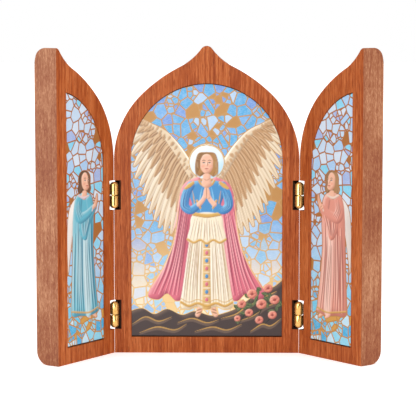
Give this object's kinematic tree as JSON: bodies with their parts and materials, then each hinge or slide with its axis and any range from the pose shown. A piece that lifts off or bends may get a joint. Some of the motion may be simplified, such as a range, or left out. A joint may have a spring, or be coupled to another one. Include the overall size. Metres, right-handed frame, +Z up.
{
  "type": "triptych altarpiece",
  "caption": "Small hinged table triptych: a keel-arched wooden centre board and two folding half-arch wings, each with a recessed picture, on brass barrel hinges.",
  "frame": {"origin": "middle of the flat strip of the centre board's underside, on the surface that the triptych stands on", "axes": "+X to the right seen from the front, across the open wings; +Y to the back, through the boards' thickness; +Z up"},
  "size_m": [0.229, 0.0711, 0.21],
  "materials": {
    "stained_wood": "red-brown stained straight-grained wood, satin varnish",
    "picture_print": "printed paper with a mosaic picture, satin",
    "polished_brass": "polished yellow brass"
  },
  "bodies": {
    "center": {"center_board": "stained_wood", "center_picture": "picture_print", "left_upper_hinge_top_knuckle": "polished_brass", "left_upper_hinge_pin": "polished_brass", "left_lower_hinge_top_knuckle": "polished_brass", "left_lower_hinge_pin": "polished_brass", "right_upper_hinge_top_knuckle": "polished_brass", "right_upper_hinge_pin": "polished_brass", "right_lower_hinge_top_knuckle": "polished_brass", "right_lower_hinge_pin": "polished_brass"},
    "wing_left": {"left_wing_board": "stained_wood", "left_picture": "picture_print", "left_upper_hinge_bottom_knuckle": "polished_brass", "left_lower_hinge_bottom_knuckle": "polished_brass"},
    "wing_right": {"right_wing_board": "stained_wood", "right_picture": "picture_print", "right_upper_hinge_bottom_knuckle": "polished_brass", "right_lower_hinge_bottom_knuckle": "polished_brass"}
  },
  "joints": [
    {"name": "left_wing_hinge", "type": "hinge", "parent": "center", "child": "wing_left", "pos_m": [-0.06315, -0.0046, 0], "axis": [0, 0, 1], "range_deg": [-57.5, 122.5]},
    {"name": "right_wing_hinge", "type": "hinge", "parent": "center", "child": "wing_right", "pos_m": [0.06315, -0.0046, 0], "axis": [0, 0, -1], "range_deg": [-51, 129]}
  ]
}
